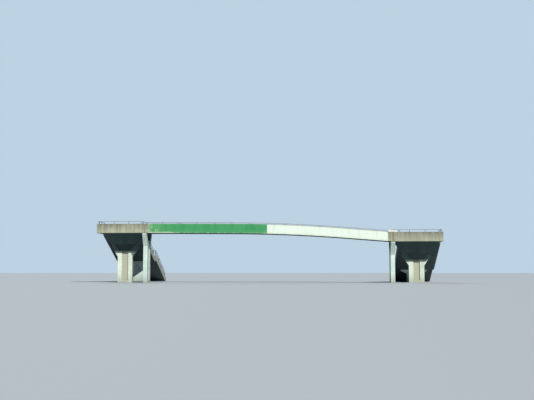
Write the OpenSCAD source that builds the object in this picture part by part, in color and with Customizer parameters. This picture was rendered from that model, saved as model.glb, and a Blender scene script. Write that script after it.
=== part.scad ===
// Concrete footbridge over a motorway: a trough of two deep edge girders on forked
// piers, a level landing at each end, and a stair that runs back from each landing.
// +X runs along the bridge, +Y away from its painted side, +Z up.
// The origin is on the ground, in the middle of the whole outline.

/* [Main span] */
// Distance between the centres of the two main piers
span = 27400; // [20000:100:28000]
// Width of the bridge over the drip lips of its two girders
deck_w = 2700; // [2400:50:3400]
// Depth of the edge girders, which are the parapets too
girder_h = 1020; // [900:10:1300]
// Thickness of an edge girder above its drip lip
girder_t = 300; // [250:10:400]
// How far the drip lip stands out from the girder's face
lip_out = 30; // [15:5:60]
// Height of the drip lip
lip_h = 100; // [60:10:160]
// Thickness of the slab between the girders
slab_t = 200; // [160:10:260]
// Thickness of the asphalt on the slab
surfacing_t = 30; // [20:5:50]
// Height of the girder's underside above the ground at the left pier
clearance = 5520; // [5000:10:6000]
// Fall of the deck per unit of length before the vertical curve
grade_left = 0.007; // [0:0.001:0.015]
// Fall of the deck per unit of length after the vertical curve
grade_right = 0.08; // [0.05:0.005:0.09]
// Distance of the start of the vertical curve from the left pier
curve_from_left = 9650; // [7000:50:12000]
// Length of the vertical curve
curve_l = 12500; // [8000:100:14000]
// Gap of the deck joint over each main pier
joint_gap = 30; // [20:5:50]
// Depth of the rubber strip that fills the deck joint
joint_strip_h = 60; // [40:5:100]

/* [Paint] */
// Thickness of the coat on the front girder
coat_t = 4; // [2:1:8]
// Distance of the green coat's outer end from the left pier's centre
coat_end_left = 410; // [200:10:800]
// Distance of the white coat's outer end from the right pier's centre
coat_end_right = 530; // [200:10:800]
// Bare edge left above the drip lip and below the girder's top
coat_edge = 15; // [5:5:40]
// Radius of the white coat's upper corner at its outer end
coat_corner_r = 200; // [40:10:300]

/* [Landings] */
// Length of a landing, from its outer end to the pier's centre
landing_l = 5450; // [5100:50:5700]
// Thickness of the landing's end and rear parapets
parapet_t = 300; // [250:10:400]

/* [Stairs] */
// Clear distance between a main pier's face and the stair's inner stringer
stair_clear = 550; // [300:10:700]
// Thickness of a stringer
stringer_t = 250; // [150:10:300]
// Height of a stringer, measured straight up
stringer_h = 660; // [550:10:800]
// Thickness of the raking slab under the steps, measured straight up
waist_h = 220; // [180:10:280]
// Rise of one step that the stairs aim for
rise_aim = 150; // [142:1:158]
// Going of one step
going = 325; // [290:5:350]
// Steps in the upper flight
upper_steps = 20; // [16:1:22]
// Length of the half-way landing
mid_l = 1500; // [1200:50:2000]
// Joint between two neighbouring steps
step_joint = 3; // [2:1:6]

/* [Piers] */
// Thickness of every pier
pier_t = 500; // [400:10:600]
// Width of a main pier's stem
main_stem_w = 1500; // [1300:50:1700]
// Height over which a main pier spreads from stem to head
main_flare_h = 1430; // [1200:10:1800]
// Width of a stair pier's stem
stair_stem_w = 1700; // [1600:50:2000]
// Width of a stair pier below its crosshead
stair_fork_w = 3100; // [2800:20:3400]
// Height over which a stair pier spreads from stem to crosshead
stair_flare_h = 1450; // [1200:10:1600]
// Depth of the crosshead on a stair pier
crosshead_h = 1160; // [900:10:1200]
// Height of a stair pier's upright outer edge below its crosshead
stair_edge_h = 320; // [150:10:500]
// Width of a stair pier's arm below its crosshead
stair_arm_w = 300; // [250:10:450]
// Depth of the notch between the arms of a stair pier
stair_notch_h = 700; // [500:10:800]
// Width of the foot of that notch
stair_notch_foot_w = 1200; // [1000:20:1400]
// Depth of the notch between the arms of a main pier
notch_h = 790; // [600:10:900]
// Width of a main pier's arm at its top
arm_w = 450; // [350:10:500]
// Height of the upright outer edge at a main or half-way pier's top
arm_edge_h = 150; // [80:10:300]
// Width of the rib at each side of a stem
rib_w = 500; // [350:10:500]
// Depth of the panel between the ribs, on each face
panel_d = 90; // [50:10:120]
// Solid height left below and above the panel
panel_end = 250; // [150:10:400]
// Height over which a half-way pier spreads to its head
mid_head_h = 450; // [300:10:600]

/* [Bearings] */
// Height of a bearing pad at the left pier
pad_h = 30; // [20:5:50]
// Length of a bearing pad along the bridge
pad_l = 180; // [120:10:200]
// Width of a bearing pad across the bridge
pad_w = 220; // [150:10:260]

/* [Handrails] */
// Width of the rails and posts
rail_w = 50; // [40:5:70]
// Thickness of a rail
rail_h = 40; // [30:5:60]
// Height of the rail's top above a girder
rail_up = 170; // [140:10:300]
// Lengths that the rail over a girder is made in
rail_parts = 7; // [5:1:9]
// Height of the rail's top above a landing parapet
landing_rail_up = 300; // [200:10:450]
// Height of the stair rail's top above the stringer
stair_rail_up = 700; // [600:10:800]
// Drop from the stair's top rail to its middle rail
mid_rail_drop = 330; // [250:10:400]
// Longest distance between two posts
post_pitch = 2000; // [1200:50:2500]
// Distance of the end posts from the rail's end
post_end = 120; // [80:10:250]
// Open joint between two lengths of rail
rail_joint = 10; // [5:1:20]
// Length of the plate on the front rail at the right pier
plate_l = 940; // [600:10:1200]
// Height of that plate
plate_h = 180; // [120:10:250]
// Thickness of that plate
plate_t = 6; // [4:1:12]
// Height of that plate's lower edge above the girder
plate_up = 30; // [10:5:60]

/* [Hidden] */

LEFT = -1;
RIGHT = 1;
// Straight parts that the vertical curve is drawn with
CURVE_PARTS = 20;
// Angle between two points of a rounded corner
ARC_STEP = 15;
// How far a cut runs past the face it starts from
PAST = 1;

raw_concrete = "#A8A38F";
pier_concrete = "#D2DCCF";
green_paint = "#3FA45F";
white_paint = "#EFF7E6";
asphalt = "#55565A";
galvanised = "#9AA3A8";
rubber = "#2B2C2E";

// Places along the bridge
pier_x = span / 2;
end_x = pier_x + landing_l;
curve_x1 = -pier_x + curve_from_left;
curve_x2 = curve_x1 + curve_l;

// Fall of the deck from the left pier: a gentle grade, a parabola, then a steeper grade
function in_curve(x) = min(max(x - curve_x1, 0), curve_l);
function fall(x) = (x + pier_x) * grade_left
    + (grade_right - grade_left) * (pow(in_curve(x), 2) / (2 * curve_l) + max(x - curve_x2, 0));

// Levels of the underside of the girders, and of the level landings beyond them
function soffit(x) = clearance - fall(x);
function landing_soffit(side) = soffit(side * pier_x);

// The walking surface
walk_up = slab_t + surfacing_t;
function walk(side) = landing_soffit(side) + walk_up;

// Stair sizes on each side
function steps(side) = round(walk(side) / rise_aim);
function rise(side) = walk(side) / steps(side);
function slope(side) = rise(side) / going;
function mid_z(side) = walk(side) - upper_steps * rise(side);
function lower_steps(side) = steps(side) - upper_steps;
upper_run = (upper_steps - 1) * going;
function lower_run(side) = (lower_steps(side) - 1) * going;

// Places across the bridge
depth = deck_w + upper_run + mid_l + max(lower_run(LEFT), lower_run(RIGHT));
front_y = -depth / 2;
rear_y = front_y + deck_w;
girder_y = front_y + lip_out;
mid_y = rear_y + upper_run;
lower_y = mid_y + mid_l;
function foot_y(side) = lower_y + lower_run(side);
deck_mid_y = front_y + deck_w / 2;

// The trough between the girders
trough_y = girder_y + girder_t;
trough_w = deck_w - 2 * (lip_out + girder_t);

// Places along the stair's width, for the right-hand side
stair_in_x = pier_x + pier_t / 2 + stair_clear;
stair_w = end_x - stair_in_x;
flight_x = stair_in_x + stringer_t;
flight_w = stair_w - 2 * stringer_t;
stair_mid_x = end_x - stair_w / 2;
landing_mid_x = end_x - landing_l / 2;

// Turns a shape drawn for the right-hand side to the side that is asked for
module on_side(side) {
    if (side == LEFT) mirror([1, 0, 0]) children();
    else children();
}

// Extrudes an outline of [x, z] points from y over a thickness
module along_y(points, y, t) {
    translate([0, y + t, 0]) rotate([90, 0, 0]) linear_extrude(t) polygon(points);
}

// Extrudes an outline of [y, z] points from x over a width
module along_x(points, x, w) {
    translate([x, 0, 0]) rotate([90, 0, 90]) linear_extrude(w) polygon(points);
}

module block(x, y, z, size_x, size_y, size_z) {
    translate([x, y, z]) cube([size_x, size_y, size_z]);
}

// Lays an outline of [x, height over the soffit] points along the vertical curve
function on_curve(points) = [for (p = points) [p[0], soffit(p[0]) + p[1]]];

// Places along a stretch of the deck, closer together in its vertical curve
function stations(x1, x2) = concat(
    [x1],
    [for (i = [0:CURVE_PARTS])
        let (x = curve_x1 + curve_l * i / CURVE_PARTS) if (x > x1 && x < x2) x],
    [x2]
);
function backwards(list) = [for (i = [len(list) - 1:-1:0]) list[i]];

// Outline of a strip along the vertical curve between two places and two heights over it
function curve_strip(x1, x2, low, high) = on_curve(concat(
    [for (x = stations(x1, x2)) [x, low]],
    [for (x = backwards(stations(x1, x2))) [x, high]]
));

// Upper outer quarter of a circle about a point
function quarter(x, z, r) =
    [for (a = [0:ARC_STEP:90]) [x + r * cos(a), z + r * sin(a)]];

main_x1 = -pier_x + joint_gap / 2;
main_x2 = pier_x - joint_gap / 2;

// An edge girder with a drip lip along its foot
module girder(y, lip_y) {
    color(raw_concrete) union() {
        along_y(curve_strip(main_x1, main_x2, 0, girder_h), y, girder_t);
        along_y(curve_strip(main_x1, main_x2, 0, lip_h), lip_y, girder_t + lip_out);
    }
}

module girder_front() {
    girder(girder_y, front_y);
}

module girder_rear() {
    girder(rear_y - lip_out - girder_t, rear_y - lip_out - girder_t);
}

module deck_slab() {
    color(raw_concrete) along_y(curve_strip(main_x1, main_x2, 0, slab_t), trough_y, trough_w);
}

module deck_surfacing() {
    color(asphalt) along_y(curve_strip(main_x1, main_x2, slab_t, walk_up), trough_y, trough_w);
}

// Edges of the coat on the front girder, as heights over the soffit
coat_low = lip_h + coat_edge;
coat_high = girder_h - coat_edge;

module coat(points) {
    along_y(points, girder_y - coat_t, coat_t);
}

module paint_green() {
    color(green_paint) coat(curve_strip(-pier_x + coat_end_left, 0, coat_low, coat_high));
}

// The white field's upper corner is rounded at its outer end
module paint_white() {
    r = coat_corner_r;
    middle = pier_x - coat_end_right - r;
    color(white_paint) coat(on_curve(concat(
        [for (x = stations(0, middle + r)) [x, coat_low]],
        quarter(middle, coat_high - r, r),
        [for (x = backwards(stations(0, middle))) [x, coat_high]]
    )));
}

module joint_strip(side) {
    color(rubber) on_side(side)
        block(pier_x - joint_gap / 2, trough_y, walk(side) - joint_strip_h,
              joint_gap, trough_w, joint_strip_h);
}

// Four pads on a main pier: the tops of the two under the girders follow the curve
module bearings(side) {
    pier_top = landing_soffit(side) - pad_h;
    off = (pier_t / 2 - pad_l) / 2;
    x2 = pier_x - off;
    x1 = x2 - pad_l;
    color(rubber) on_side(side) for (y = [front_y + arm_w / 2, rear_y - arm_w / 2]) {
        along_y([[x1, pier_top], [x2, pier_top], [x2, soffit(side * x2)], [x1, soffit(side * x1)]],
                y - pad_w / 2, pad_w);
        block(pier_x + off, y - pad_w / 2, pier_top, pad_l, pad_w, pad_h);
    }
}

// Outline of a stem that spreads over the height of its flare to a head with upright edges
function spread(mid, stem_w, head_w, top, flare, edge_h) = [
    [mid - stem_w / 2, 0], [mid + stem_w / 2, 0],
    [mid + stem_w / 2, top - flare], [mid + head_w / 2, top - edge_h],
    [mid + head_w / 2, top], [mid - head_w / 2, top],
    [mid - head_w / 2, top - edge_h], [mid - stem_w / 2, top - flare]
];

// Outline of the notch that parts a head into two arms
function notch(mid, top_w, foot_w, top, h) = [
    [mid - foot_w / 2, top - h], [mid + foot_w / 2, top - h],
    [mid + top_w / 2, top], [mid - top_w / 2, top]
];

// A pier that stands across the bridge under a deck joint, its arms under the girders
module main_pier(side) {
    top = landing_soffit(side) - pad_h;
    x = side * pier_x - pier_t / 2;
    panel_h = top - main_flare_h - 2 * panel_end;
    arm_run = (deck_w - main_stem_w) / (main_flare_h - arm_edge_h);
    color(pier_concrete) difference() {
        along_x(spread(deck_mid_y, main_stem_w, deck_w, top, main_flare_h, arm_edge_h), x, pier_t);
        along_x(notch(deck_mid_y, deck_w - 2 * arm_w + PAST * arm_run,
                      deck_w - 2 * arm_w - notch_h * arm_run, top + PAST, notch_h + PAST),
                x - PAST, pier_t + 2 * PAST);
        for (face = [x - PAST, x + pier_t - panel_d])
            block(face, deck_mid_y - main_stem_w / 2 + rib_w, panel_end,
                  panel_d + PAST, main_stem_w - 2 * rib_w, panel_h);
    }
}

// A pier under the rear edge of a landing, where the stair begins. Its crosshead is centred
// on the landing and starts at the main pier's face
module stair_pier(side) {
    top = landing_soffit(side);
    fork_top = top - crosshead_h;
    y = rear_y - pier_t;
    mid = landing_mid_x;
    head = stair_fork_w / 2;
    reach = (landing_l - pier_t) / 2;
    panel_h = fork_top - stair_notch_h - 2 * panel_end;
    color(pier_concrete) on_side(side) difference() {
        union() {
            along_y(spread(mid, stair_stem_w, stair_fork_w, fork_top, stair_flare_h, stair_edge_h),
                    y, pier_t);
            along_y([[mid - head, fork_top], [mid + head, fork_top],
                     [mid + reach, top], [mid - reach, top]], y, pier_t);
        }
        along_y(notch(mid, stair_fork_w - 2 * stair_arm_w, stair_notch_foot_w,
                      fork_top, stair_notch_h), y - PAST, pier_t + 2 * PAST);
        for (face = [y - PAST, y + pier_t - panel_d])
            block(mid - stair_stem_w / 2 + rib_w, face, panel_end,
                  stair_stem_w - 2 * rib_w, panel_d + PAST, panel_h);
    }
}

// A plain pier with a spread head under a half-way landing
module mid_pier(side) {
    top = mid_z(side) - waist_h;
    y = mid_y + (mid_l - going - pier_t) / 2;
    color(pier_concrete) on_side(side)
        along_y(spread(stair_mid_x, stair_stem_w, stair_fork_w, top, mid_head_h, arm_edge_h),
                y, pier_t);
}

// The landing's floor reaches back to the first riser of the stair
module landing_slab(side) {
    x = pier_x + joint_gap / 2;
    color(raw_concrete) on_side(side)
        block(x, trough_y, landing_soffit(side),
              end_x - lip_out - parapet_t - x, rear_y - trough_y, walk_up);
}

// The landing's front girder goes on where the main girder ends
module landing_front(side) {
    z = landing_soffit(side);
    x = pier_x + joint_gap / 2;
    w = landing_l - joint_gap / 2;
    color(raw_concrete) on_side(side) union() {
        block(x, girder_y, z, w - lip_out, girder_t, girder_h);
        block(x, front_y, z, w, girder_t + lip_out, lip_h);
    }
}

module landing_end(side) {
    z = landing_soffit(side);
    x = end_x - lip_out - parapet_t;
    color(raw_concrete) on_side(side) union() {
        block(x, trough_y, z, parapet_t, rear_y - trough_y, girder_h);
        block(x, trough_y, z, parapet_t + lip_out, rear_y - trough_y, lip_h);
    }
}

// The short rear parapet stands on the floor between the stair and the main girder
module landing_rear(side) {
    x = pier_x + joint_gap / 2;
    color(raw_concrete) on_side(side)
        block(x, rear_y - parapet_t, walk(side), flight_x - x, parapet_t, girder_h - walk_up);
}

// Level of the line through the inner corners of the steps, counted from a flight's first riser
function step_line(side, top, run) = top - rise(side) - run * slope(side);

// The raking slab of the upper flight
module waist_upper(side) {
    top = walk(side);
    color(raw_concrete) on_side(side)
        along_x([[rear_y, step_line(side, top, 0)],
                 [mid_y, step_line(side, top, upper_run)],
                 [mid_y, step_line(side, top, upper_run) - waist_h],
                 [rear_y, step_line(side, top, 0) - waist_h]], flight_x, flight_w);
}

// The raking slab of the lower flight, which ends on the ground
module waist_lower(side) {
    top = mid_z(side);
    foot = foot_y(side);
    back = lower_y + (top - rise(side) - waist_h) / slope(side);
    color(raw_concrete) on_side(side)
        along_x([[lower_y, step_line(side, top, 0)], [foot, 0], [back, 0],
                 [lower_y, step_line(side, top, 0) - waist_h]], flight_x, flight_w);
}

// Step blocks on a raking slab, each a solid of its own
module treads(side, y, top, count) {
    color(raw_concrete) on_side(side)
        for (k = [1:count - 1]) {
            inner = y + (k - 1) * going;
            outer = inner + going - step_joint;
            z = top - k * rise(side);
            along_x([[inner, z], [outer, z - (going - step_joint) * slope(side)], [outer, z]],
                    flight_x, flight_w);
        }
}

module treads_upper(side) {
    treads(side, rear_y, walk(side), upper_steps);
}

module treads_lower(side) {
    treads(side, lower_y, mid_z(side), lower_steps(side));
}

// The half-way landing, whose underside turns down into the lower flight
module mid_landing(side) {
    z = mid_z(side);
    color(raw_concrete) on_side(side)
        along_x([[mid_y, z], [lower_y, z], [lower_y, z - waist_h - rise(side)],
                 [lower_y - going, z - waist_h], [mid_y, z - waist_h]], flight_x, flight_w);
}

// Where a stringer's underside meets the ground
function stringer_foot(side) = lower_y + (mid_z(side) - rise(side) - waist_h) / slope(side);

// Outline of a stringer along both flights, up to a height over its underside
function stringer_outline(side, high) =
    let (z1 = walk(side) - rise(side) - waist_h, z2 = mid_z(side) - waist_h)
    [[rear_y, z1 + high], [mid_y, z2 + high], [lower_y - going, z2 + high],
     [foot_y(side), high - waist_h], [foot_y(side), 0],
     [stringer_foot(side), 0], [lower_y - going, z2], [mid_y, z2], [rear_y, z1]];

module stringer(side, x) {
    color(raw_concrete) on_side(side) along_x(stringer_outline(side, stringer_h), x, stringer_t);
}

module stringer_outer(side) {
    stringer(side, end_x - stringer_t);
}

module stringer_inner(side) {
    stringer(side, stair_in_x);
}

// Places of the posts along a rail: the end posts and evenly spaced ones between them
function post_places(a, b) = let (n = ceil((b - a - 2 * post_end) / post_pitch))
    [for (i = [0:n]) a + post_end + (b - a - 2 * post_end) * i / n];

// One length of the rail over a girder: a straight bar on posts
module main_rail_length(x1, x2, y) {
    top = girder_h + rail_up;
    ends = [[x1, top - rail_h], [x2, top - rail_h], [x2, top], [x1, top]];
    union() {
        along_y(on_curve(ends), y - rail_w / 2, rail_w);
        for (x = post_places(x1, x2))
            along_y([[x - rail_w / 2, soffit(x - rail_w / 2) + girder_h],
                     [x + rail_w / 2, soffit(x + rail_w / 2) + girder_h],
                     [x + rail_w / 2, soffit(x) + top - rail_h / 2],
                     [x - rail_w / 2, soffit(x) + top - rail_h / 2]], y - rail_w / 2, rail_w);
    }
}

// The rail over a girder, in lengths that follow the vertical curve
module main_rail(y) {
    part = (main_x2 - main_x1) / rail_parts;
    color(galvanised) for (i = [0:rail_parts - 1])
        main_rail_length(main_x1 + i * part + rail_joint / 2,
                         main_x1 + (i + 1) * part - rail_joint / 2, y);
}

front_rail_y = girder_y + girder_t / 2;
rear_rail_y = rear_y - lip_out - girder_t / 2;

// A straight rail on posts along +X from x1 to x2, or along +Y from y1 to y2
module rail_along_x(x1, x2, y, z, up) {
    block(x1, y - rail_w / 2, z + up - rail_h, x2 - x1, rail_w, rail_h);
    for (x = post_places(x1, x2))
        block(x - rail_w / 2, y - rail_w / 2, z, rail_w, rail_w, up - rail_h / 2);
}

module rail_along_y(x, y1, y2, z, up) {
    block(x - rail_w / 2, y1, z + up - rail_h, rail_w, y2 - y1, rail_h);
    for (y = post_places(y1, y2))
        block(x - rail_w / 2, y - rail_w / 2, z, rail_w, rail_w, up - rail_h / 2);
}

// Rails on the landing's front, end and rear parapets, with an open joint at the outer corner
module handrail_landing(side) {
    z = landing_soffit(side) + girder_h;
    x1 = pier_x + joint_gap / 2;
    x2 = end_x - lip_out - parapet_t / 2;
    color(galvanised) on_side(side) {
        union() rail_along_x(x1, x2 + rail_w / 2, front_rail_y, z, landing_rail_up);
        union() rail_along_y(x2, front_rail_y + rail_w / 2 + rail_joint, rear_y, z, landing_rail_up);
        union() rail_along_x(x1, flight_x, rear_rail_y, z, landing_rail_up);
    }
}

// The height of a stringer's top at a place along the stair
function stringer_top(side, y) =
    y < mid_y ? mid_z(side) - waist_h + stringer_h + (mid_y - y) * slope(side)
    : y < lower_y - going ? mid_z(side) - waist_h + stringer_h
    : mid_z(side) - waist_h + stringer_h - (y - lower_y + going) * slope(side);

// A bar along the stair from y1 to y2, with its top at a height over the stringer
module stair_bar(side, x, y1, y2, up) {
    along_x([[y1, stringer_top(side, y1) + up - rail_h], [y2, stringer_top(side, y2) + up - rail_h],
             [y2, stringer_top(side, y2) + up], [y1, stringer_top(side, y1) + up]],
            x - rail_w / 2, rail_w);
}

module stair_post(side, x, y) {
    top = stringer_top(side, y) + stair_rail_up - rail_h / 2;
    along_x([[y - rail_w / 2, stringer_top(side, y - rail_w / 2)],
             [y + rail_w / 2, stringer_top(side, y + rail_w / 2)],
             [y + rail_w / 2, top], [y - rail_w / 2, top]], x - rail_w / 2, rail_w);
}

// Two bars on posts over each stringer, in one length for each flight and one for the landing
module handrail_stair(side) {
    bends = [rear_y, mid_y, lower_y - going, foot_y(side)];
    color(galvanised) on_side(side)
        for (x = [stair_in_x + stringer_t / 2, end_x - stringer_t / 2], i = [0:2]) union() {
            y1 = bends[i] + rail_joint / 2;
            y2 = bends[i + 1] - rail_joint / 2;
            stair_bar(side, x, y1, y2, stair_rail_up);
            stair_bar(side, x, y1, y2, stair_rail_up - mid_rail_drop);
            for (y = post_places(y1, y2)) stair_post(side, x, y);
        }
}

// A bare plate fixed to the front of the rail posts beside the right deck joint
module rail_plate() {
    color(white_paint) block(pier_x - plate_l / 2, front_rail_y - rail_w / 2 - plate_t,
                             landing_soffit(RIGHT) + girder_h + plate_up, plate_l, plate_t, plate_h);
}

girder_front();
girder_rear();
deck_slab();
deck_surfacing();
paint_green();
paint_white();
joint_strip(LEFT);  // joint_strip_left
joint_strip(RIGHT);  // joint_strip_right
bearings(LEFT);  // bearings_left
bearings(RIGHT);  // bearings_right
main_pier(LEFT);  // main_pier_left
main_pier(RIGHT);  // main_pier_right
stair_pier(LEFT);  // stair_pier_left
stair_pier(RIGHT);  // stair_pier_right
landing_slab(LEFT);  // landing_slab_left
landing_slab(RIGHT);  // landing_slab_right
landing_front(LEFT);  // landing_front_left
landing_front(RIGHT);  // landing_front_right
landing_end(LEFT);  // landing_end_left
landing_end(RIGHT);  // landing_end_right
landing_rear(LEFT);  // landing_rear_left
landing_rear(RIGHT);  // landing_rear_right
waist_upper(LEFT);  // waist_upper_left
waist_upper(RIGHT);  // waist_upper_right
treads_upper(LEFT);  // treads_upper_left
treads_upper(RIGHT);  // treads_upper_right
mid_landing(LEFT);  // mid_landing_left
mid_landing(RIGHT);  // mid_landing_right
mid_pier(LEFT);  // mid_pier_left
mid_pier(RIGHT);  // mid_pier_right
waist_lower(LEFT);  // waist_lower_left
waist_lower(RIGHT);  // waist_lower_right
treads_lower(LEFT);  // treads_lower_left
treads_lower(RIGHT);  // treads_lower_right
stringer_outer(LEFT);  // stringer_outer_left
stringer_outer(RIGHT);  // stringer_outer_right
stringer_inner(LEFT);  // stringer_inner_left
stringer_inner(RIGHT);  // stringer_inner_right
handrail_stair(LEFT);  // handrail_stair_left
handrail_stair(RIGHT);  // handrail_stair_right
handrail_landing(LEFT);  // handrail_landing_left
handrail_landing(RIGHT);  // handrail_landing_right
main_rail(front_rail_y);  // handrail_front
main_rail(rear_rail_y);  // handrail_rear
rail_plate();
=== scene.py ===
# %% [markdown]
# # A concrete footbridge with two staircases
#
# The bridge is a trough: a walkway slab between two deep concrete side beams,
# carried by forked piers, with a wide staircase folded back behind each end.
# The construction comes in as a fixed frame, already in metres and in its place.
# Blender adds what the frame leaves out: the surface of every material, the broken
# edges, and the small metalwork that is bolted on.

# %% The frame
import math

import bmesh
import bpy
from mathutils import Matrix, Vector
from mathutils.bvhtree import BVHTree


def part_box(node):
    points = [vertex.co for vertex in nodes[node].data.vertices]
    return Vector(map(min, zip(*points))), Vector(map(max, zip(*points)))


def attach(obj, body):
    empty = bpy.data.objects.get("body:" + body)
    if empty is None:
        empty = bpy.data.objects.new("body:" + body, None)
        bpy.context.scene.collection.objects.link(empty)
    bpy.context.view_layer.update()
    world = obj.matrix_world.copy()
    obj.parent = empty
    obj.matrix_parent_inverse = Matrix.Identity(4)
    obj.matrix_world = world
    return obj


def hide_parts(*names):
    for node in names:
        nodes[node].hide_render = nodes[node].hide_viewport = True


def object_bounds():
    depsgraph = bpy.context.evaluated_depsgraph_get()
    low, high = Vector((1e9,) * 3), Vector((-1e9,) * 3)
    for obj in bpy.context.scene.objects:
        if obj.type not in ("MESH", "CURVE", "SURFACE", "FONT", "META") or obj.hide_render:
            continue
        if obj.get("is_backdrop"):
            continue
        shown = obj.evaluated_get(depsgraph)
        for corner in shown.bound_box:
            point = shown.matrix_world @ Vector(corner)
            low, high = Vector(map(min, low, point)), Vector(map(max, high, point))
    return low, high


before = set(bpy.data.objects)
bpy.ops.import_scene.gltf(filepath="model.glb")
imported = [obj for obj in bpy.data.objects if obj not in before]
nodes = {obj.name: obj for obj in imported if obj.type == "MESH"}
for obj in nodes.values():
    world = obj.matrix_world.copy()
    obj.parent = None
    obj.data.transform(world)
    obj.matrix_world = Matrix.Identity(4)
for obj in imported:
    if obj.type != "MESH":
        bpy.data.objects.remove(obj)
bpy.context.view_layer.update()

# %% [markdown]
# ## The line of the deck
#
# The walkway isn't level. It leaves the left pier almost flat, bends gently down in
# the middle of the span and runs to the right pier at eight percent. Dirt, wear and
# seals all follow that line, so it comes first, as a height that depends on x.
# Engineers draw such a bend as a parabola, and so does this function.

# %% The height of the deck's underside
PIER_X = 13.7  # metres from the middle of the bridge, and all lengths here are metres
SOFFIT_LEFT = 5.52  # the underside over the left pier
GRADE_LEFT, GRADE_RIGHT = 0.007, 0.08
CURVE_START, CURVE_LENGTH = -4.05, 12.5
WALK_RISE = 0.23  # from the underside to the walkway
BEAM_HEIGHT = 1.02


def underside(x):
    """Height of the deck's underside at x, in metres."""
    x = max(-PIER_X, min(PIER_X, x))
    bent = max(0.0, min(CURVE_LENGTH, x - CURVE_START))
    past = max(0.0, x - CURVE_START - CURVE_LENGTH)
    extra = (GRADE_RIGHT - GRADE_LEFT) * (bent ** 2 / (2 * CURVE_LENGTH) + past)
    return SOFFIT_LEFT - (x + PIER_X) * GRADE_LEFT - extra


print("underside at left, middle, right:", [round(underside(x), 3) for x in (-PIER_X, 0, PIER_X)])

# %% [markdown]
# ## The camera
#
# The photograph was taken from low down and almost a hundred metres away, with an
# ordinary lens. Standing that far off keeps the beam long and flat. The camera is set
# before anything is dressed, so that each finish can be judged in the view that
# matters.

# %% The photograph's viewpoint
EYE = Vector((6.98, -95.61, 1.18))
TURN_LEFT, TILT_UP = math.radians(4.556), math.radians(5.143)
LENS_MM, SENSOR_MM = 53.93, 36.0

camera = bpy.data.objects.new("camera", bpy.data.cameras.new("camera"))
camera.location = EYE
camera.rotation_euler = (math.pi / 2 + TILT_UP, 0, TURN_LEFT)
camera.data.lens = LENS_MM
camera.data.sensor_width = SENSOR_MM
camera.data.clip_end = 2000
bpy.context.scene.collection.objects.link(camera)
bpy.context.scene.camera = camera
print("camera", [round(c, 2) for c in camera.location])

# %% [markdown]
# ## Colour and nodes
#
# Colours are written as they are read from a screen, in sRGB. A shader works in
# linear light, so one function turns them. A second function adds a shader node with
# its settings and its links in one line, which keeps a long recipe readable. Some
# sockets go by their number. A Map Range node takes its range from sockets 1 and 2 and
# gives the range in sockets 3 and 4, or 0 to 1 if these aren't set. A Mix node has its
# two colours in sockets 6 and 7. A pattern's scale says how often it repeats in a
# metre. Shares between 0 and 1 were matched to the photograph.

# %% Two helpers for materials
COLOUR_MIX = {"give": 2, "data_type": "RGBA"}  # a Mix node for colours gives output 2


def linear(colour):
    """An sRGB hex colour as linear red, green, blue and alpha."""
    parts = [int(colour[i:i + 2], 16) / 255 for i in (1, 3, 5)]
    return (*[c / 12.92 if c <= 0.04045 else ((c + 0.055) / 1.055) ** 2.4 for c in parts], 1.0)


def put(tree, kind, sockets=(), give=0, **settings):
    """Adds a node with its settings and sockets, linked or set, and returns one of its outputs."""
    node = tree.nodes.new("ShaderNode" + kind)
    for name, value in settings.items():
        setattr(node, name, value)
    for key, value in dict(sockets).items():
        if isinstance(value, bpy.types.NodeSocket):
            tree.links.new(value, node.inputs[key])
        else:
            node.inputs[key].default_value = value
    return node if give is None else node.outputs[give]


print("mid grey in linear light:", round(linear("#808080")[0], 3))

# %% [markdown]
# Every finish starts and ends alike. It starts as one Principled shader, which can be
# stone, paint or metal, and with the place of each point, in metres. It ends where
# its colour and its relief reach that shader, the relief as a real depth.

# %% The start and the end of a finish
def finish_named(name, **sockets):
    """A new material whose constants are set on its shader: the material, tree, shader, place."""
    made = bpy.data.materials.new(name)
    made.use_nodes = True
    shader = made.node_tree.nodes["Principled BSDF"]
    for key, value in sockets.items():
        shader.inputs[key.replace("_", " ")].default_value = value
    place = put(made.node_tree, "TexCoord", give="Object")
    return made, made.node_tree, shader, place


def show(tree, shader, colour, relief, strength, depth, **settings):
    """Links a colour to the shader, and a relief as bumps of this depth."""
    tree.links.new(colour, shader.inputs["Base Color"])
    sockets = {"Strength": strength, "Distance": depth, "Height": relief}
    tree.links.new(put(tree, "Bump", sockets, **settings), shader.inputs["Normal"])


print("a finish reads the place of each point in metres")

# %% [markdown]
# ## The studio
#
# A pale floor runs to the horizon, so that no edge of it shows. It is no part of the
# bridge, and is marked as the stage.

# %% Floor
FLOOR_REACH = 900.0
bm = bmesh.new()
bmesh.ops.create_grid(bm, x_segments=1, y_segments=1, size=FLOOR_REACH)
floor_mesh = bpy.data.meshes.new("floor")
bm.to_mesh(floor_mesh)
bm.free()
floor = bpy.data.objects.new("floor", floor_mesh)
bpy.context.scene.collection.objects.link(floor)
floor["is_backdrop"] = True
floor_paint = finish_named("studio floor paint", Base_Color=linear("#B3B9BD"), Roughness=0.9)[0]
floor_mesh.materials.append(floor_paint)
print("floor", 2 * FLOOR_REACH, "m across")

# %% [markdown]
# The light is one lamp, far off, over the right shoulder and not quite forty degrees
# up, as the sun stood. It lights the face of the beam and leaves the staircase behind
# it in the shadow of the landing. A weak, broad lamp behind the bridge opens the
# shadows for views from the back. The world has two colours: the camera sees a pale
# backdrop, and the surfaces are lit by a dimmer, bluer one. The picture is shown with
# the Standard view, so that a colour that was read from a screen comes back unchanged.

# %% World and lamps
BACKDROP, BACKDROP_STRENGTH = "#BDD2E2", 1.0
FILL, FILL_STRENGTH = "#93C8EE", 0.13

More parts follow.
